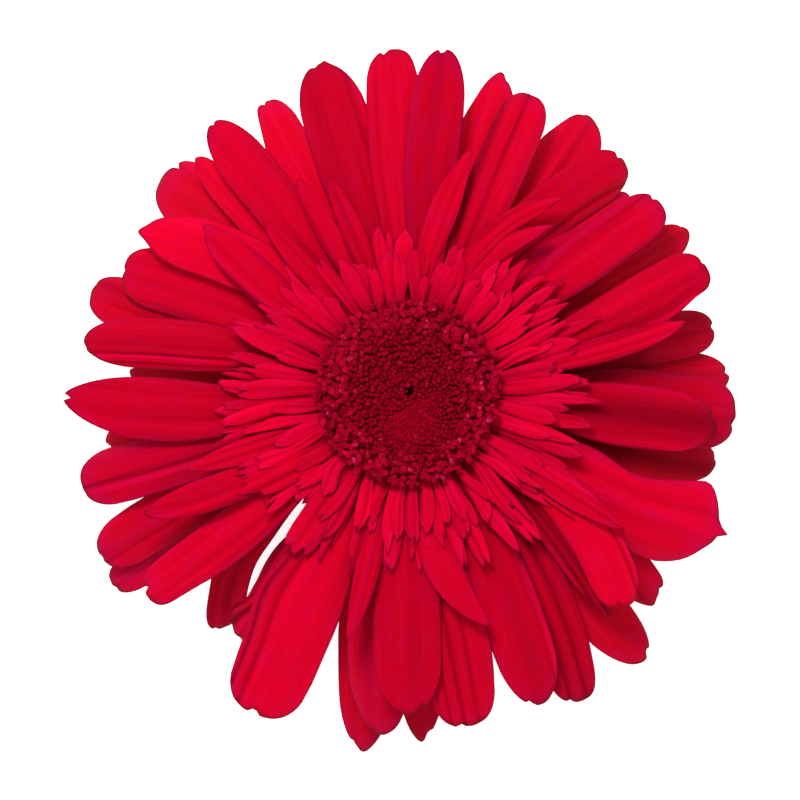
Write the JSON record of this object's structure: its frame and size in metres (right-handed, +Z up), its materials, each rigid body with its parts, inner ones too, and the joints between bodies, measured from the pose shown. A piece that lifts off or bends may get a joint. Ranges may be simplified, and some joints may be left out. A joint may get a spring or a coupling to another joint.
{
  "type": "cut gerbera flower head",
  "caption": "Red semi-double gerbera head, cut close under its green cup of bracts and lying on its back, face up.",
  "frame": {"origin": "on the surface that the head lies on, under the middle of its bounding box", "axes": "+Z up out of the flower's face, +Y towards the top of the picture, +X towards its right"},
  "size_m": [0.1046, 0.1094, 0.0229],
  "materials": {
    "red_petal": "satin, fine lengthwise veins",
    "crimson_disc": "matt, beaded",
    "green_bract": "matt, downy",
    "green_stem": "satin, finely ribbed and downy"
  },
  "bodies": {
    "root": {"ray_florets": "red_petal", "disc_florets": "crimson_disc", "involucre": "green_bract", "stem": "green_stem"}
  },
  "joints": []
}
